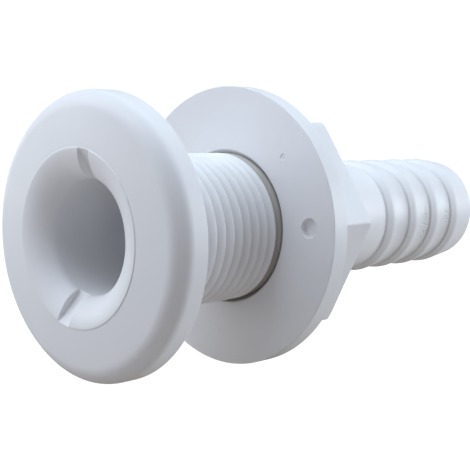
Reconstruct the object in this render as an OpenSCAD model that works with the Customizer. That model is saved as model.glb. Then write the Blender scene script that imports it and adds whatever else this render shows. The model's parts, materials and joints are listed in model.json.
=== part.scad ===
// Straight thru hull fitting with a flanged hex nut and a ridged hose tail.
// The axis of the fitting is +Y, from the outboard mouth towards the hose tail.
// The origin is on that axis, in the plane of the head that seats on the hull.

/* [Head] */
// Diameter of the mushroom head
head_d = 64.6; // [60:0.5:80]
// Depth of the head, from the hull face to the lip round the mouth
head_t = 8.7; // [7.5:0.1:12]
// Radius of the rounded shoulder between rim and face
shoulder_r = 6.1; // [4:0.1:6.6]
// Slope of the domed face where it meets the shoulder, in degrees
dome_angle = 8; // [4:0.5:12]
// Bevel on the rim's back edge
rim_bevel = 0.3; // [0.1:0.1:0.6]

/* [Mouth] */
// Diameter of the lip round the mouth
mouth_d = 39.6; // [36:0.1:42]
// How far the lip stands proud of the domed face
lip_step = 0.15; // [0.05:0.05:0.4]
// Bore of the head and shank
bore_d = 25.8; // [24.8:0.1:29]
// Axial depth of the flare that leads into the bore
flare_depth = 5; // [3:0.1:6]

/* [Key notches] */
// Width of the two notches that take a holding tool
notch_w = 3.8; // [2:0.1:6]
// How far a notch runs on past the flare into the bore
notch_run = 0.2; // [0.1:0.1:2.5]
// Angle of the notches from upright
notch_angle = 11; // [0:1:90]

/* [Thread] */
// Outside diameter of the thread
thread_d = 36.4; // [35:0.1:39]
// Pitch of the thread, 9 to the inch
thread_pitch = 2.82; // [2:0.01:3.2]
// Depth of the thread
thread_depth = 1.2; // [0.8:0.05:1.3]
// Width of one flank, measured along the axis
flank_w = 0.5; // [0.3:0.05:0.6]
// Width of the groove's floor
groove_w = 0.3; // [0.2:0.05:0.5]
// Plain neck between the head and the first groove
neck_len = 1.6; // [1:0.1:3]
// Bevel in the corner between the head and the neck
neck_bevel = 0.4; // [0.2:0.1:0.8]
// Length of the threaded shank, from the hull face
shank_len = 64; // [58:0.5:72]

/* [Hose tail] */
// Diameter over the ridges, for a hose of 30 mm bore
ridge_d = 31.6; // [30.5:0.1:32.5]
// Depth of the grooves between ridges
ridge_depth = 1.1; // [0.6:0.05:1.2]
// Number of ridges
ridge_count = 4; // [3:1:5]
// Distance from one ridge to the next
ridge_pitch = 10.9; // [9:0.1:13]
// Length of a ridge's steep side, which faces the nut
ridge_rise = 2.3; // [1:0.1:3]
// Length of the flat land on a ridge's crest
ridge_land = 0.8; // [0.6:0.1:1.2]
// Length of the plain collar between the shank and the first ridge
collar_len = 22.5; // [16:0.1:26]
// Length of the cone between the shank and the collar
step_len = 2.4; // [1.5:0.1:3]
// How much longer the last ridge's taper is than the others
tip_len = 2; // [0:0.1:3]
// Bore of the hose tail
tail_bore_d = 24.4; // [22:0.1:24.6]
// Length of the taper from the shank's bore to the tail's bore
taper_len = 6; // [3:0.5:8]
// Radius of the rounded tail end
end_round = 1.2; // [0.6:0.1:1.4]
// Bevel inside the tail end
end_bevel = 0.5; // [0.2:0.1:0.8]

/* [Nut] */
// Diameter of the nut's flange
flange_d = 69.2; // [64:0.1:76]
// Thickness of the flange
flange_t = 4.8; // [3:0.1:6]
// Width of the hexagon across its flats
hex_af = 50.4; // [46:0.1:54]
// Length of the hexagon behind the flange
hex_t = 17.4; // [12:0.1:20]
// Radial clearance between the nut and the thread's crests
nut_gap = 0.3; // [0.2:0.05:0.4]
// Width of the bevel round the mouth of the nut
mouth_bevel = 0.9; // [0.2:0.05:1.2]
// Width of the bevel round the flange's edges
flange_bevel = 0.4; // [0.2:0.05:0.8]
// How far the back bevel cuts into the corners of the hexagon
corner_bevel = 0.9; // [0.8:0.1:2.4]
// Distance of the nut's face from the hull face, where it stands at rest
nut_stand = 38; // [6:0.1:42]
// Angle that the nut is turned to, in degrees
nut_turn = 2.4; // [0:0.2:59]

/* [Hidden] */
$fn = 96;
arc_steps = 10;
skin = 1;
plastic = [0.93, 0.94, 0.95];

head_r = head_d / 2;
mouth_r = mouth_d / 2;
bore_r = bore_d / 2;
crest_r = thread_d / 2;
root_r = crest_r - thread_depth;
ridge_r = ridge_d / 2;
groove_r = ridge_r - ridge_depth;
tail_bore_r = tail_bore_d / 2;
flange_r = flange_d / 2;
nut_bore_r = crest_r + nut_gap;
hex_r = hex_af / 2 / cos(30);

// The shoulder is an arc from the rim to the slope of the dome, and the dome
// is a parabola from there to level just behind the mouth's lip.
dome_r = head_r - shoulder_r * (1 - sin(dome_angle));
dome_w = dome_r - mouth_r;
dome_rise = dome_w * tan(dome_angle) / 2;
shoulder_y = dome_rise + shoulder_r * cos(dome_angle) + lip_step - head_t;

// Grooves fill the shank from the neck, and the last crest is at least a flank
// wide before the bevel at the shank's end.
groove_span = 2 * flank_w + groove_w;
last_groove = shank_len - 2 * flank_w - groove_span;
thread_count = floor((last_groove - neck_len) / thread_pitch) + 1;
ridge_start = shank_len + collar_len;
tail_end = ridge_start + ridge_count * ridge_pitch + tip_len;
taper_end = shank_len + step_len;
notch_floor = flare_depth + notch_run - head_t;

// Turns a profile of [radius, y] points about the fitting's axis.
module turned(points) {
    rotate([-90, 0, 0])
        rotate_extrude()
            polygon(points);
}

// Extrudes a flat shape along the axis, from y_low over a length.
module along_axis(y_low, length) {
    rotate([-90, 0, 0])
        translate([0, 0, y_low])
            linear_extrude(length)
                children();
}

function flare_points() = [
    for (i = [arc_steps:-1:0])
        let (a = 90 * i / arc_steps)
        [mouth_r - (mouth_r - bore_r) * sin(a),
         flare_depth * (1 - cos(a)) - head_t]
];

function dome_points() = [
    for (i = [0:arc_steps / 2 - 1])
        let (r = mouth_r + dome_w * i * 2 / arc_steps)
        [r, dome_rise * pow((r - mouth_r) / dome_w, 2) + lip_step - head_t]
];

function shoulder_points() = [
    for (i = [0:arc_steps])
        let (a = dome_angle + (90 - dome_angle) * i / arc_steps)
        [head_r - shoulder_r * (1 - sin(a)), shoulder_y - shoulder_r * cos(a)]
];

function thread_points() = [
    for (i = [0:thread_count - 1], k = [0:3])
        let (y = neck_len + i * thread_pitch)
        [k == 0 || k == 3 ? crest_r : root_r,
         y + (k < 2 ? k * flank_w : groove_span - (3 - k) * flank_w)]
];

function ridge_points() = [
    for (i = [0:ridge_count - 1], k = [0:2])
        [k == 0 ? groove_r : ridge_r,
         ridge_start + i * ridge_pitch
         + (k == 0 ? 0 : k == 1 ? ridge_rise : ridge_rise + ridge_land)]
];

function end_points() = [
    for (i = [0:arc_steps / 2])
        let (a = 180 * i / arc_steps)
        [groove_r - end_round * (1 - cos(a)), tail_end - end_round * (1 - sin(a))]
];

// The whole moulding before the notches: head, shank and hose tail in one turn.
module body_blank() {
    turned(concat(
        flare_points(),
        dome_points(),
        shoulder_points(),
        [[head_r, -rim_bevel], [head_r - rim_bevel, 0]],
        [[crest_r + neck_bevel, 0], [crest_r, neck_bevel]],
        thread_points(),
        [[crest_r, shank_len - flank_w], [root_r, shank_len]],
        [[groove_r, taper_end]],
        ridge_points(),
        end_points(),
        [[tail_bore_r + end_bevel, tail_end],
         [tail_bore_r, tail_end - end_bevel],
         [tail_bore_r, taper_end],
         [bore_r, taper_end - taper_len]]
    ));
}

// One notch: its floor is a chord from the lip down into the bore.
module notch() {
    rotate([0, notch_angle, 0])
        translate([-notch_w / 2, 0, 0])
            rotate([90, 0, 90])
                linear_extrude(notch_w)
                    polygon([
                        [-head_t, mouth_r],
                        [notch_floor, bore_r],
                        [notch_floor, bore_r - skin],
                        [-head_t - skin, bore_r - skin],
                        [-head_t - skin, mouth_r]
                    ]);
}

// Mushroom head, threaded shank and hose tail, moulded in one piece.
module thru_hull_body() {
    color(plastic)
        difference() {
            body_blank();
            notch();
            rotate([0, 180, 0])
                notch();
        }
}

// Round flange of the nut, which bears on the inside of the hull.
module nut_flange() {
    back = nut_stand + flange_t;
    color(plastic)
        turned([
            [nut_bore_r + mouth_bevel, nut_stand],
            [flange_r - flange_bevel, nut_stand],
            [flange_r, nut_stand + flange_bevel],
            [flange_r, back - flange_bevel],
            [flange_r - flange_bevel, back],
            [nut_bore_r, back],
            [nut_bore_r, nut_stand + mouth_bevel]
        ]);
}

// Hexagon of the nut, with its back corners bevelled.
module nut_hex() {
    front = nut_stand + flange_t;
    back = front + hex_t;
    color(plastic)
        difference() {
            intersection() {
                along_axis(front, hex_t)
                    rotate(-nut_turn)
                        circle(hex_r, $fn = 6);
                turned([
                    [0, front - skin],
                    [hex_r + skin, front - skin],
                    [hex_r + skin, back - (corner_bevel + skin) / 2],
                    [hex_r - corner_bevel - 2 * skin, back + skin],
                    [0, back + skin]
                ]);
            }
            turned([
                [0, front - skin],
                [nut_bore_r, front - skin],
                [nut_bore_r, back - mouth_bevel],
                [nut_bore_r + mouth_bevel + skin, back + skin],
                [0, back + skin]
            ]);
        }
}

thru_hull_body();
nut_flange();
nut_hex();
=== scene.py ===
import json
import math

import bmesh
import bpy
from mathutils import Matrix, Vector


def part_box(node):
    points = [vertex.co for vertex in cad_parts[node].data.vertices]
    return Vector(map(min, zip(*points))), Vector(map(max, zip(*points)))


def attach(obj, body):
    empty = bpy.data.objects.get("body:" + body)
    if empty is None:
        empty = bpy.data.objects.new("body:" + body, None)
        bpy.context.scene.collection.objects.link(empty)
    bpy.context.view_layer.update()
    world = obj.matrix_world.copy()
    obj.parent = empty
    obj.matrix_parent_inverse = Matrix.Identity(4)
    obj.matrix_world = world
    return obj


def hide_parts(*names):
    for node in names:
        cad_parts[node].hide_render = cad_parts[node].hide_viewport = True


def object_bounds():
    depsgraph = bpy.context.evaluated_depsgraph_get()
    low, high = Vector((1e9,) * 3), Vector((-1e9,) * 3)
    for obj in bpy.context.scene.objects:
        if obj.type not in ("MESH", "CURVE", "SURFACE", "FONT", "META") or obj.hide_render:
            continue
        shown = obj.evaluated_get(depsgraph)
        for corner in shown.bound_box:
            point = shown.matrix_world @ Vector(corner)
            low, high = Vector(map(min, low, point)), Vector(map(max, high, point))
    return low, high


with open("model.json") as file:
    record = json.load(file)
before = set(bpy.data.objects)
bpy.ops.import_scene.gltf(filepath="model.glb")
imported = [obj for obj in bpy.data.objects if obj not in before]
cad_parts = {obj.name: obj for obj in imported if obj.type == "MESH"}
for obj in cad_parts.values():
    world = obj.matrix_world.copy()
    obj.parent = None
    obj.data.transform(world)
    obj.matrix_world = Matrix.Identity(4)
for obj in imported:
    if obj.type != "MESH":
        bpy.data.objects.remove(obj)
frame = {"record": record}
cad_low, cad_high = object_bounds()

# ---------------------------------------------------------------------------
# Body: one injection moulding of white nylon, with the mushroom head, the
# threaded shank and the ridged hose tail in one piece. The cores that form
# the bore meet inside the shank, and the thread is moulded, not cut.
# ---------------------------------------------------------------------------
# Sizes are in millimetres: radii, and places along the axis from the hull.
MM = 0.001
body_low, body_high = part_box("thru_hull_body")
mounts = {mount["name"]: mount["dims"] for mount in frame["record"]["mounts"]}

head_r = body_high.x / MM
mouth_face = body_low.y / MM
tail_end = body_high.y / MM
bore_r = mounts["waterway"]["r_mm"]
ridge_r = mounts["hose_tail"]["r_mm"]
mouth_r = 19.8
lip_step = 0.15
lip_rounding = 0.05
flare_depth = 5.0
flare_fullness = 0.88
shoulder_back = -5.0
rim_start = -2.0
crest_r = 18.2
root_r = 16.6
thread_pitch = 2.82
thread_phase = -0.15
thread_fade = 2.2
neck_end = 1.6
shank_end = 64.0
step_end = 66.4
taper_start = 60.4
tail_bore_r = 12.2
groove_r = 14.7
ridge_count = 4
ridge_pitch = 10.9
ridge_start = 86.5
ridge_rise = 2.3
ridge_land = 0.8
end_round = 1.2
end_bevel = 0.5
notch_w = 3.8
notch_angles = (math.radians(9.8), math.radians(193.2))
notch_foot_y = -3.5


def rounded_path(corners, steps=5):
    """Joins (radius, y, rounding) corners by straight lines, with an arc of
    about the given rounding at each corner and a holding loop beside it."""
    points = []
    for i, (r, y, rounding) in enumerate(corners):
        here = Vector((r, y))
        if rounding == 0 or i in (0, len(corners) - 1):
            points.append((r, y))
            continue
        before = Vector(corners[i - 1][:2]) - here
        after = Vector(corners[i + 1][:2]) - here
        turn = math.pi - before.angle(after)
        reach = rounding * math.tan(turn / 2)
        reach = min(reach, before.length * 0.45, after.length * 0.45)
        before.normalize()
        after.normalize()
        points.append(tuple(here + before * reach * 1.1))
        for k in range(steps + 1):
            t = k / steps
            spot = (here + before * reach * (1 - t) ** 2
                    + after * reach * t ** 2)
            points.append(tuple(spot))
        points.append(tuple(here + after * reach * 1.1))
    return points


def around(r, y, a):
    """The point at a radius, a place along the axis and an angle from up."""
    return (r * math.sin(a), y, r * math.cos(a))


def smooth_step(x):
    """Rises softly from 0 to 1 while x does."""
    x = min(1.0, max(0.0, x))
    return x * x * (3 - 2 * x)


def sew_rows(bm, rows):
    """Lays a skin of four-sided faces between rows of points."""
    layers = [[bm.verts.new(Vector(p) * MM) for p in row] for row in rows]
    for lower, upper in zip(layers, layers[1:]):
        for c in range(len(lower) - 1):
            bm.faces.new((lower[c], lower[c + 1], upper[c + 1], upper[c]))


def weld(bm):
    """Joins the points that fall together."""
    bmesh.ops.remove_doubles(bm, verts=bm.verts, dist=2e-6)


def make_piece(bm, name, crease):
    """Puts a finished skin in the scene, smooth but for its creases, which
    are the edges that turn by more than the given degrees."""
    bmesh.ops.recalc_face_normals(bm, faces=bm.faces)
    mesh = bpy.data.meshes.new(name)
    bm.to_mesh(mesh)
    bm.free()
    made = bpy.data.objects.new(name, mesh)
    bpy.context.scene.collection.objects.link(made)
    mesh.shade_smooth()
    mesh.set_sharp_from_angle(angle=math.radians(crease))
    return made


# The thread's turns are rounded over and meet in narrow grooves. Each pair is
# a distance along the axis, as a share of the pitch from one groove to the
# next, and the depth there as a share of the thread's depth.
TURN_SHAPE = ((0.0, 1.0), (0.04, 0.95), (0.11, 0.78), (0.2, 0.55),
              (0.3, 0.33), (0.4, 0.18), (0.5, 0.08), (0.62, 0.015),
              (0.72, 0.0), (0.79, 0.08), (0.85, 0.31), (0.91, 0.67),
              (0.97, 0.95))


def thread_depth(y, a):
    """Depth of the thread at a place along the axis and an angle."""
    u = y - thread_phase - a / math.tau * thread_pitch
    share = u / thread_pitch % 1
    ends = TURN_SHAPE[1:] + ((1.0, 1.0),)
    for (s0, d0), (s1, d1) in zip(TURN_SHAPE, ends):
        if share <= s1:
            depth = d0 + (d1 - d0) * (share - s0) / (s1 - s0)
            return (crest_r - root_r) * depth


def helix_rows(angles, y_low, y_high, radius_at):
    """Rows that climb one pitch in each turn, held between two flat ends."""
    turns = math.ceil((y_high - y_low) / thread_pitch) + 3
    first = math.floor(y_low / thread_pitch) - 1
    rows = []
    for turn in range(first, first + turns + 1):
        for share, _ in TURN_SHAPE:
            row = []
            for a in angles:
                y = ((turn + a / math.tau) * thread_pitch + thread_phase
                     + share * thread_pitch)
                y = min(y_high, max(y_low, y))
                row.append(around(radius_at(y, a), y, a))
            rows.append(row)
    return rows


def shank_radius(y, a):
    """Outside of the shank: the groove fades out at the head, and a bevel
    at the far end lets the nut start."""
    fade = smooth_step((y - neck_end) / thread_fade)
    bevel = root_r + (shank_end - y)
    return min(crest_r - thread_depth(y, a) * fade, bevel)


# The head's face: a faint cone runs from the mouth out to a soft slope, which
# rounds over into the rim. Each pair is how far outside the mouth, and how
# far the face has fallen back there.
FACE_FALL = ((0, 0), (1, 0.06), (2.5, 0.19), (4, 0.34), (5.5, 0.5))
face_start = mouth_face + lip_step
face_path = rounded_path(
    [(mouth_r + out, face_start + fall, 0) for out, fall in FACE_FALL]
    + [(mouth_r + 9.8, face_start + 1.02, 4.2),
       (head_r, shoulder_back, 3.6), (head_r, rim_start, 0)], 10)[1:]

# The mouth's lip stands a little proud of the face, and a full flare leads
# from it into the bore.
lip_path = [(mouth_r + 0.35, face_start), (mouth_r + 0.1, face_start),
            (mouth_r + 0.03, face_start - 0.01), (mouth_r, face_start - 0.04),
            (mouth_r, mouth_face + lip_rounding),
            (mouth_r - 0.3 * lip_rounding, mouth_face + 0.3 * lip_rounding)]
FLARE_STEPS = 26
mouth_path = [(mouth_r - lip_rounding, mouth_face)]
for k in range(1, FLARE_STEPS + 1):
    a = math.pi / 2 * k / FLARE_STEPS
    fall = flare_depth * (1 - math.cos(a)) ** flare_fullness
    mouth_path.append((mouth_r - (mouth_r - bore_r) * math.sin(a),
                       mouth_face + fall))
mouth_path.append((bore_r, notch_foot_y))

# The bore runs from the mouth to the tail, where the wall is thinner.
bore_path = rounded_path([
    (bore_r, notch_foot_y, 0), (bore_r, notch_foot_y + 0.6, 0),
    (bore_r, 20, 0), (bore_r, 40, 0), (bore_r, taper_start, 4),
    (tail_bore_r, step_end, 4), (tail_bore_r, 90, 0), (tail_bore_r, 110, 0),
    (tail_bore_r, tail_end - end_bevel, 0.3),
    (tail_bore_r + end_bevel, tail_end, 0.3),
    (groove_r - end_round, tail_end, 0)])[1:]

# The tail's outside, from its rounded end back over the ridges, each with a
# rounded crest and a steep side towards the nut, to the collar and the shank.
END_STEPS = 8
tail_path = []
for k in range(END_STEPS + 1):
    a = math.radians(90 - 90 * k / END_STEPS)
    tail_path.append((groove_r - end_round + end_round * math.cos(a),
                      tail_end - end_round + end_round * math.sin(a)))
for i in reversed(range(ridge_count)):
    foot = ridge_start + i * ridge_pitch
    crest = foot + ridge_rise
    tail_path += rounded_path([
        tail_path[-1] + (0,), (ridge_r, crest + ridge_land, 1.2),
        (ridge_r, crest, 2.4), (groove_r + 0.45, foot + 0.35, 0.6),
        (groove_r, foot, 0)])[1:]
    tail_path.append((groove_r - 0.03, foot - 0.04))
tail_path += rounded_path([
    (groove_r, ridge_start - 0.12, 0), (groove_r, 72, 0),
    (groove_r, step_end, 0.8), (root_r, shank_end, 0)])

# The back of the head, with the neck that the thread starts from.
back_path = rounded_path([
    (crest_r, neck_end, 0), (crest_r, 0, 0.5), (head_r, 0, 0.3),
    (head_r, rim_start, 0)])[1:-1]
back_path += [(head_r, -0.6), (head_r, (rim_start - 0.6) / 2)]

# Columns of points stand closer together beside the two notches, where they
# keep to straight lines so that the notches get flat side walls. Each pair is
# a distance from the notch's middle, and the part of the notch that is there.
LIP_DROP = 0.04
BRINK_DROP = 0.15
FILLET_RISE = 0.09
FOOT_RISE = 0.3
half_w = notch_w / 2
notch_columns = [(0.0, "floor"), (0.8, "floor"),
                 (half_w - FOOT_RISE, "floor"),
                 (half_w - FILLET_RISE, "fillet"), (half_w, "foot"),
                 (half_w, "brink"), (half_w + LIP_DROP, "lip"),
                 (half_w + BRINK_DROP, ""), (half_w + 0.4, ""),
                 (half_w + 0.9, "")]
near = [(math.asin(x / mouth_r), kind) for x, kind in notch_columns]

# The rest are shared out evenly up to the middle of the gap on each side.
GAP_STEPS = 41
FIRST_STEP = 5
half_gap = (notch_angles[1] - notch_angles[0]) / 2
columns = []
for centre, low_gap, high_gap in (
        (notch_angles[0], math.pi - half_gap, half_gap),
        (notch_angles[1], half_gap, math.pi - half_gap)):
    low_side = near + [(low_gap * k / GAP_STEPS, "")
                       for k in range(FIRST_STEP, GAP_STEPS + 1)]
    high_side = near + [(high_gap * k / GAP_STEPS, "")
                        for k in range(FIRST_STEP, GAP_STEPS)]
    columns += [(centre - a, kind, centre) for a, kind in low_side[:0:-1]]
    columns += [(centre + a, kind, centre) for a, kind in high_side]
columns.append((columns[0][0] + math.tau, columns[0][1],
                columns[0][2] + math.tau))


def column_angle(column, r):
    """Straight lines beside a notch turn into plain radial ones away from
    it."""
    a, _, centre = column
    off = a - centre
    if abs(off) > math.radians(60):
        return a
    straight = math.asin(max(-1.0, min(1.0, mouth_r * math.sin(off) / r)))
    share = smooth_step((math.radians(40) - abs(off)) / math.radians(26))
    return centre + off + (straight - off) * share


def notch_sink(kind, depth):
    """How far a column drops towards the notch's floor."""
    brink = min(BRINK_DROP, depth)
    return {"": 0.0, "lip": min(LIP_DROP, depth), "brink": brink,
            "foot": max(brink, depth - FOOT_RISE),
            "fillet": max(brink, depth - FILLET_RISE), "floor": depth}[kind]


# A notch's floor is a straight chord from the lip down into the bore.
chord = Vector((bore_r - mouth_r, notch_foot_y - mouth_face)).normalized()
inward = Vector((chord.y, -chord.x))


def body_row(r, y, in_mouth=False):
    """One row round the body, sunk at the notches where it is in the
    mouth."""
    row = []
    for column in columns:
        a = column_angle(column, r)
        sunk_r, sunk_y = r, y
        if in_mouth and column[1]:
            spot = Vector((r - mouth_r, y - mouth_face))
            depth = max(0.0, -spot.dot(inward))
            drop = inward * notch_sink(column[1], depth)
            sunk_r, sunk_y = r + drop.x, y + drop.y
        if sunk_r != r:
            a = column[2] + math.asin(r * math.sin(a - column[2]) / sunk_r)
        row.append(around(sunk_r, sunk_y, a))
    return row


rows = [body_row(r, y, True) for r, y in mouth_path]
rows += [body_row(r, y) for r, y in bore_path + tail_path]
thread_angles = [column_angle(column, crest_r) for column in columns]
rows += reversed(helix_rows(thread_angles, neck_end, shank_end, shank_radius))
rows += [body_row(r, y) for r, y in back_path]
rows += [body_row(r, y) for r, y in reversed(face_path)]
rows += [body_row(r, y) for r, y in lip_path]
rows.append(rows[0])
bm = bmesh.new()
sew_rows(bm, rows)
weld(bm)
bmesh.ops.dissolve_degenerate(bm, edges=bm.edges, dist=1e-7)
body = make_piece(bm, "thru_hull_moulding", 50)


def feed(tree, target, source):
    """Joins an output to an input, or sets the input to a plain value."""
    if isinstance(source, bpy.types.NodeSocket):
        tree.links.new(source, target)
    else:
        target.default_value = source


def add(tree, kind, **values):
    """Adds a node, with its inputs fed by name and its options as given."""
    made = tree.nodes.new(kind)
    for key, value in values.items():
        label = key.replace("_", " ").title()
        if label in made.inputs:
            feed(tree, made.inputs[label], value)
        else:
            setattr(made, key, value)
    return made


def work_out(tree, operation, *sources):
    """The result of a sum on one or two numbers."""
    made = add(tree, "ShaderNodeMath", operation=operation)
    for target, source in zip(made.inputs, sources):
        feed(tree, target, source)
    return made.outputs[0]


def work_out_vector(tree, operation, *sources):
    """The result of a sum on one or two vectors."""
    made = add(tree, "ShaderNodeVectorMath", operation=operation)
    for target, source in zip(made.inputs, sources):
        feed(tree, target, source)
    return made.outputs["Value" if operation == "LENGTH" else "Vector"]


def ramp(tree, source, low, high, to_min=0.0, to_max=1.0):
    """Takes a value that runs from low to high to one between two others."""
    made = add(tree, "ShaderNodeMapRange", value=source, from_min=low,
               from_max=high, to_min=to_min, to_max=to_max)
    return made.outputs[0]


def blend(tree, factor, first, second):
    """Blends two colours, either of which can be another blend."""
    made = add(tree, "ShaderNodeMix", data_type="RGBA")
    for name, source in (("Factor", factor), ("A", first), ("B", second)):
        feed(tree, made.inputs[name],
             (*source, 1) if isinstance(source, tuple) else source)
    return made.outputs["Result"]


def paint_over(material, factor, colour):
    """Blends one more colour over a material's own."""
    tree = material.node_tree
    base = tree.nodes["Principled BSDF"].inputs["Base Color"]
    under = base.links[0].from_socket
    feed(tree, base, blend(tree, factor, under, colour))


def object_place(tree):
    """The place on the piece, in metres."""
    return tree.nodes.new("ShaderNodeTexCoord").outputs["Object"]


def node_group(name, numbers, results):
    """A group with named number inputs and results, and its two ends."""
    tree = bpy.data.node_groups.new(name, "ShaderNodeTree")
    for label, value in numbers.items():
        made = tree.interface.new_socket(label, in_out="INPUT",
                                         socket_type="NodeSocketFloat")
        made.default_value = value
    for label in results:
        tree.interface.new_socket(label, in_out="OUTPUT",
                                  socket_type="NodeSocketFloat")
    return (tree, tree.nodes.new("NodeGroupInput").outputs,
            tree.nodes.new("NodeGroupOutput").inputs)


# Moulded grain: the fine bloom and slight waviness that a polished mould
# leaves on nylon, and how shiny each patch is.
grain, given, result = node_group(
    "moulded_grain", {"Fine": 1.0, "Wavy": 1.0}, ("Height", "Cloud"))
place = object_place(grain)
fine, wave, cloud = [
    add(grain, "ShaderNodeTexNoise", vector=place, scale=scale,
        detail=detail).outputs["Fac"]
    for scale, detail in ((2600.0, 4.0), (150.0, 2.0), (42.0, 3.0))]
fine_part = work_out(grain, "MULTIPLY", fine, given["Fine"])
wave_part = work_out(grain, "MULTIPLY", wave, given["Wavy"])
feed(grain, result["Height"], work_out(grain, "ADD", fine_part, wave_part))
feed(grain, result["Cloud"], cloud)

# Handling, dust and light on edges and hollows: the raised edges are whitened,
# partly for handling and partly as painted highlight where they catch the
# light, but not the flat faces that look along the axis, and the hollows are
# darkened, partly for a little dust and partly as painted shade.
rub_dust_and_light_tree, given, result = node_group(
    "rub_and_settle", {"Breakup": 320.0}, ("Edge", "Hollow"))
surface = rub_dust_and_light_tree.nodes.new("ShaderNodeNewGeometry")
noise = add(rub_dust_and_light_tree, "ShaderNodeTexNoise", vector=object_place(rub_dust_and_light_tree),
            scale=given["Breakup"], detail=5.0)
patch = ramp(rub_dust_and_light_tree, noise.outputs["Fac"], 0.35, 0.65)
split = add(rub_dust_and_light_tree, "ShaderNodeSeparateXYZ", vector=surface.outputs["Normal"])
facing = work_out(rub_dust_and_light_tree, "ABSOLUTE", split.outputs["Y"])
# Painted highlight, with handling: lighter where the edges are sharp.
edge = work_out(
    rub_dust_and_light_tree, "MULTIPLY", ramp(rub_dust_and_light_tree, surface.outputs["Pointiness"], 0.515, 0.55),
    ramp(rub_dust_and_light_tree, facing, 0.999, 0.98))
# Painted shade, with a little dust: darker in hollows.
hollow_dust_and_shade = ramp(rub_dust_and_light_tree, surface.outputs["Pointiness"], 0.49, 0.42)
feed(rub_dust_and_light_tree, result["Edge"], work_out(rub_dust_and_light_tree, "MULTIPLY", edge, patch))
feed(rub_dust_and_light_tree, result["Hollow"], work_out(rub_dust_and_light_tree, "MULTIPLY", hollow_dust_and_shade, patch))


def moulded_nylon(name, clean, cloudy, fine):
    """Satin white nylon: a base colour that drifts a little over the part,
    edges whitened for handling and as painted highlight, and hollows darkened
    for dust and as painted shade."""
    rub_and_highlight_colour = (0.96, 0.97, 0.98)
    dust_and_shade_colour = (0.74, 0.73, 0.70)
    made = bpy.data.materials.new(name)
    made.use_nodes = True
    tree = made.node_tree
    shader = tree.nodes["Principled BSDF"]
    shader.inputs["IOR"].default_value = 1.5
    shader.inputs["Specular IOR Level"].default_value = 0.4
    skin = add(tree, "ShaderNodeGroup", node_tree=grain, fine=fine, wavy=0.5)
    rub_dust_and_light = add(tree, "ShaderNodeGroup", node_tree=rub_dust_and_light_tree)
    cloud = skin.outputs["Cloud"]
    colour = blend(tree, ramp(tree, cloud, 0.35, 0.65), clean, cloudy)
    # Edges lightened: partly handling, partly painted highlight.
    colour = blend(tree, rub_dust_and_light.outputs["Edge"], colour, rub_and_highlight_colour)
    # Hollows darkened: partly dust, partly painted shade.
    colour = blend(tree, rub_dust_and_light.outputs["Hollow"], colour, dust_and_shade_colour)
    bump = add(tree, "ShaderNodeBump", distance=0.04 * MM, strength=0.6,
               height=skin.outputs["Height"])
    feed(tree, shader.inputs["Base Color"], colour)
    feed(tree, shader.inputs["Roughness"],
         ramp(tree, cloud, 0.3, 0.7, 0.36, 0.52))
    feed(tree, shader.inputs["Normal"], bump.outputs["Normal"])
    return made


body_nylon = moulded_nylon("body_nylon", clean=(0.87, 0.87, 0.89),
                           cloudy=(0.85, 0.85, 0.87), fine=0.5)

# Painted shade: a darker band on the thread where the nut's face stands, for the shade in
# the gap round the shank at the nut's mouth.
tree = body_nylon.node_tree
place = object_place(tree)
along = add(tree, "ShaderNodeSeparateXYZ", vector=place).outputs["Y"]
ring = work_out(tree, "MULTIPLY", ramp(tree, along, 36.4 * MM, 37.1 * MM),
                ramp(tree, along, 41.5 * MM, 40.0 * MM))
# The band's colour is painted shade.
paint_over(body_nylon, ring, (0.56, 0.53, 0.50))

# Scuffs: two small patches on the tail, where a hose or a clamp has wrinkled
# the backs of the second and third ridges. Each is a place and the reach
# round it.
SCUFFS = (((15.2, 105.8, -3.0), (6, 2.6, 6)),
          ((15.5, 117.1, -1.2), (6, 1.8, 3.4)))
patches = []
for spot, reach in SCUFFS:
    shift = work_out_vector(tree, "SUBTRACT", place, Vector(spot) * MM)
    squeeze = work_out_vector(tree, "DIVIDE", shift, Vector(reach) * MM)
    size = work_out_vector(tree, "LENGTH", squeeze)
    patches.append(ramp(tree, size, 1.0, 0.6))
stretched = work_out_vector(tree, "MULTIPLY", place, (1, 0.35, 1))
wrinkles = add(tree, "ShaderNodeTexNoise", vector=stretched, scale=2200.0,
               detail=1.0)
swing = work_out(tree, "SUBTRACT", wrinkles.outputs["Fac"], 0.5)
wrinkle_height = work_out(tree, "MULTIPLY", swing,
                          work_out(tree, "MAXIMUM", *patches))
normal_input = tree.nodes["Principled BSDF"].inputs["Normal"]
wrinkle_bump = add(tree, "ShaderNodeBump", distance=0.5 * MM, strength=1.0,
                   height=wrinkle_height,
                   normal=normal_input.links[0].from_socket)
feed(tree, normal_input, wrinkle_bump.outputs["Normal"])
body.data.materials.append(body_nylon)
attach(body, "fitting")
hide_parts("thru_hull_body")

# ---------------------------------------------------------------------------
# Nut: one moulding of the same white nylon, a round flange that bears on the
# inside of the hull with a hexagon behind it for the wrench. Its thread turns
# on the shank's, and its face keeps an ejector pin's dimple and a gate scar.
# ---------------------------------------------------------------------------
flange_low, flange_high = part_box("nut_flange")
nut_front = flange_low.y / MM
flange_back = flange_high.y / MM
nut_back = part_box("nut_hex")[1].y / MM
flange_r = min(flange_high.x, -flange_low.x) / MM
hex_half = 25.2
hex_turn = math.radians(27.6)
corner_r = 1.0
back_bevel = 0.9
bevel_ease = 0.12
hex_fillet = 0.5
thread_gap = 0.3
nut_mouth_r = 19.15
sixth = math.pi / 3
hex_point = hex_half / math.cos(sixth / 2)

# Each corner of the hexagon is an arc about a centre on its diagonal.
corner_centre = hex_point - corner_r / math.sin(sixth)
corner_reach = math.atan2(corner_r / 2,
                          corner_centre + corner_r * math.cos(sixth / 2))


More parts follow.
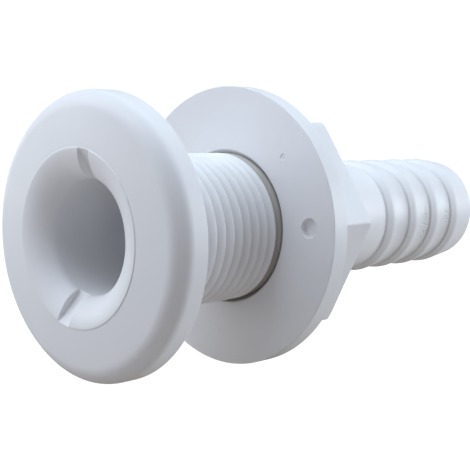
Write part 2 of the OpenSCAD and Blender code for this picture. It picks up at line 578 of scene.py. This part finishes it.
def hex_radius(a):
    """Distance from the axis to the hexagon's side, in the direction a."""
    off = (a - hex_turn + sixth / 2) % sixth - sixth / 2
    if abs(off) < corner_reach:
        side = corner_centre * math.sin(off)
        return (corner_centre * math.cos(off)
                + math.sqrt(corner_r ** 2 - side ** 2))
    return hex_half / math.cos(sixth / 2 - abs(off))


# Columns stand closer together at the six corners than along the sides.
CORNER_SHARES = (-1.5, -1, -0.75, -0.5, -0.25, 0, 0.25, 0.5, 0.75, 1, 1.5)
SIDE_STEPS = 26
nut_angles = []
for k in range(6):
    corner = hex_turn + k * sixth
    nut_angles += [corner + share * corner_reach for share in CORNER_SHARES]
    nut_angles += [corner + math.radians(2 + 56 * step / SIDE_STEPS)
                   for step in range(1, SIDE_STEPS)]
nut_angles.sort()
nut_angles.append(nut_angles[0] + math.tau)


def nut_radius(y, a):
    """Inside of the nut: the shank's own shape a little larger, opened out
    at both ends."""
    thread = crest_r + thread_gap - thread_depth(y, a)
    front = nut_mouth_r - (y - nut_front)
    back = nut_mouth_r - (nut_back - y)
    return max(thread, front, back)


def nut_ring(r, y):
    """A round row on the nut."""
    return [around(r, y, a) for a in nut_angles]


def hex_ring(outset, y):
    """A row round the hexagon's sides, or a little outside them."""
    return [around(hex_radius(a) + outset, y, a) for a in nut_angles]


def bevelled_ring(inset, drop, on_back):
    """A row beside one of the two edges of the bevel on the hexagon's back:
    the edge on the back face, or the one on the sides."""
    row = []
    for a in nut_angles:
        r = hex_radius(a)
        over = max(0.0, r - (hex_point - back_bevel))
        if on_back:
            row.append(around(r - over - inset, nut_back - drop, a))
        else:
            row.append(around(r - inset, nut_back - over / 2 - drop, a))
    return row


# From the flange's face over its rim to the foot of the hexagon, up its sides
# and over the bevel to the back, and down the thread to the face again.
nut_rows = [nut_ring(r, y) for r, y in rounded_path([
    (flange_r - 1.8, nut_front, 0), (flange_r - 1.1, nut_front, 0),
    (flange_r, nut_front, 0.22), (flange_r, flange_back, 0.3),
    (hex_point + 1.5, flange_back, 0)], 6)]
FILLET_STEPS = 6
for k in range(FILLET_STEPS + 1):
    a = math.pi / 2 * k / FILLET_STEPS
    nut_rows.append(hex_ring(hex_fillet * (1 - math.sin(a)),
                             flange_back + hex_fillet * (1 - math.cos(a))))
nut_rows.append(hex_ring(0, (flange_back + nut_back) / 2))
nut_rows.append(hex_ring(0, nut_back - 1.2))
nut_rows.append(bevelled_ring(0, bevel_ease, False))
nut_rows.append(bevelled_ring(0.15 * bevel_ease, 0.3 * bevel_ease, False))
nut_rows.append(bevelled_ring(0.3 * bevel_ease, 0.15 * bevel_ease, True))
nut_rows.append(bevelled_ring(bevel_ease, 0, True))
nut_rows += [nut_ring(r, nut_back)
             for r in (24.0, nut_mouth_r + 0.2, nut_mouth_r)]
nut_rows += reversed(helix_rows(nut_angles, nut_front, nut_back, nut_radius))
bm = bmesh.new()
sew_rows(bm, nut_rows)
sew_rows(bm, [nut_ring(nut_mouth_r + out, nut_front)
              for out in (0, 0.06, 0.4, 0.9)])
weld(bm)

# Dimple and gate scar: rings about their own centres, sunk in the face. Each
# pair is a ring's radius and its depth.
DIMPLE = ((3.3, 0.0), (2.8, 0.0), (2.5, 0.0), (2.42, 0.0), (2.38, 0.04),
          (2.32, 0.2), (2.26, 0.5), (2.2, 0.85), (2.12, 1.12), (2.0, 1.28),
          (1.8, 1.36), (1.5, 1.38), (0.7, 1.38))
SCAR = ((1.5, 0.0), (1.2, 0.0), (0.95, 0.0), (0.85, 0.0), (0.78, 0.06),
        (0.7, 0.2), (0.6, 0.27), (0.42, 0.27), (0.36, 0.2), (0.3, 0.06),
        (0.12, 0.04))
for x, z, count, rings in ((27.05, 0.95, 48, DIMPLE),
                           (18.95, 17.33, 24, SCAR)):
    turns = [math.tau * k / count for k in range(count + 1)]
    sew_rows(bm, [[(x + r * math.sin(a), nut_front + depth,
                    z + r * math.cos(a)) for a in turns]
                  for r, depth in rings])
weld(bm)
face_y = nut_front * MM
open_edges = [e for e in bm.edges if e.is_boundary
              and all(abs(v.co.y - face_y) < 1e-7 for v in e.verts)]
bmesh.ops.triangle_fill(bm, edges=open_edges, use_beauty=True,
                        normal=Vector((0, -1, 0)))
bmesh.ops.holes_fill(bm, edges=[e for e in bm.edges if e.is_boundary],
                     sides=0)
nut = make_piece(bm, "flanged_nut", 40)

nut_nylon = moulded_nylon("nut_nylon", clean=(0.86, 0.86, 0.88),
                          cloudy=(0.84, 0.84, 0.86), fine=0.6)

# Painted shade: the thread inside the nut is painted darker, most of all low down,
# which deepens the gap round the shank.
tree = nut_nylon.node_tree
place = object_place(tree)
across = work_out_vector(tree, "MULTIPLY", place, (1, 0, 1))
inside = ramp(tree, work_out_vector(tree, "LENGTH", across),
              19.1 * MM, 18.7 * MM)
height = add(tree, "ShaderNodeSeparateXYZ", vector=place).outputs["Z"]
nut_bore_shade = work_out(tree, "MULTIPLY", inside,
                 ramp(tree, height, 12 * MM, -8 * MM, 0.15))
# The colour below is painted shade for the gap round the shank.
paint_over(nut_nylon, nut_bore_shade, (0.38, 0.35, 0.31))
nut.data.materials.append(nut_nylon)
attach(nut, "nut")
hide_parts("nut_flange", "nut_hex")

# ---------------------------------------------------------------------------
# Floor: a wide round sheet of matt white board, which the flange almost
# touches. It looks plain white, and sheds a dim warm glow on the part from
# below.
# ---------------------------------------------------------------------------
FLOOR_R = 6.0
FLOOR_GAP = 0.0002
bm = bmesh.new()
bmesh.ops.create_circle(bm, cap_ends=True, segments=96, radius=FLOOR_R)
floor_mesh = bpy.data.meshes.new("floor_board")
bm.to_mesh(floor_mesh)
bm.free()
floor = bpy.data.objects.new("floor_board", floor_mesh)
floor.location.z = cad_low.z - FLOOR_GAP
bpy.context.scene.collection.objects.link(floor)
board = bpy.data.materials.new("matt_white_board")
board.use_nodes = True
tree = board.node_tree
shader = tree.nodes["Principled BSDF"]
shader.inputs["Base Color"].default_value = (0.25, 0.25, 0.25, 1)
shader.inputs["Roughness"].default_value = 0.9
shader.inputs["Specular IOR Level"].default_value = 0.1
shader.inputs["Emission Strength"].default_value = 1


def lit_or_seen(tree, lit, seen):
    """One colour for the light that is shed on the part, and another for
    how the surface itself is seen."""
    path = tree.nodes.new("ShaderNodeLightPath")
    return blend(tree, path.outputs["Is Camera Ray"], lit, seen)


feed(tree, shader.inputs["Emission Color"],
     lit_or_seen(tree, (0.16, 0.13, 0.10), (1.0, 1.0, 1.0)))
floor_mesh.materials.append(board)

# ---------------------------------------------------------------------------
# Studio light: five soft boxes at the same distance, of which the one behind
# the part on the right and the one overhead are the strongest, in a dim
# surround that looks white.
# ---------------------------------------------------------------------------
LAMP_DISTANCE = 0.9
# Name, azimuth and elevation in degrees, width in metres, power and colour.
LAMPS = (("left_box", -70, 0, 0.6, 2.15, (0.90, 1.0, 1.0)),
         ("front_box", -40, 25, 0.6, 3.2, (0.83, 0.90, 1.0)),
         ("high_box", -10, 50, 0.6, 1.2, (0.83, 0.90, 1.0)),
         ("right_box", 140, 0, 0.6, 9.3, (0.82, 0.91, 1.0)),
         ("top_box", 43, 88, 0.8, 7.9, (0.76, 0.90, 1.0)))


def towards(azimuth, elevation):
    """The direction at an azimuth, from -Y towards +X, and an elevation."""
    a, e = math.radians(azimuth), math.radians(elevation)
    return Vector((math.sin(a) * math.cos(e), -math.cos(a) * math.cos(e),
                   math.sin(e)))


def place_looking(made, spot, direction):
    """Puts a lamp or a camera in the scene, looking along a direction."""
    made.location = spot
    made.rotation_mode = "QUATERNION"
    made.rotation_quaternion = direction.to_track_quat("-Z", "Y")
    bpy.context.scene.collection.objects.link(made)


middle = (cad_low + cad_high) / 2
for name, azimuth, elevation, width, power, colour in LAMPS:
    lamp = bpy.data.lights.new(name, "AREA")
    lamp.shape = "RECTANGLE"
    lamp.size = width
    lamp.size_y = width
    lamp.energy = power
    lamp.color = colour
    box = bpy.data.objects.new(name, lamp)
    box.visible_camera = False
    back = towards(azimuth, elevation)
    place_looking(box, middle + back * LAMP_DISTANCE, -back)

world = bpy.data.worlds.new("white_surround")
world.use_nodes = True
tree = world.node_tree
feed(tree, tree.nodes["Background"].inputs["Color"],
     lit_or_seen(tree, (0.12, 0.11, 0.13), (1.05, 1.05, 1.05)))
bpy.context.scene.world = world
bpy.context.scene.view_settings.view_transform = "Standard"

# ---------------------------------------------------------------------------
# Camera: a little above the axis, off the head's quarter, aimed beside the
# head so that the whole length is in view.
# ---------------------------------------------------------------------------
CAMERA_AZIMUTH = 43.44
CAMERA_ELEVATION = 5.26
CAMERA_DISTANCE = 0.22207
AIM_RIGHT = 0.02867
AIM_UP = 0.00027
away = towards(CAMERA_AZIMUTH, CAMERA_ELEVATION)
right = towards(CAMERA_AZIMUTH + 90, 0)
up = away.cross(right)
camera_data = bpy.data.cameras.new("camera")
camera_data.sensor_width = 36
camera_data.lens = 76.6
camera_data.clip_start = 0.01
camera_data.clip_end = 50
camera = bpy.data.objects.new("camera", camera_data)
place_looking(camera, away * CAMERA_DISTANCE + right * AIM_RIGHT
              + up * AIM_UP, -away)
bpy.context.scene.camera = camera
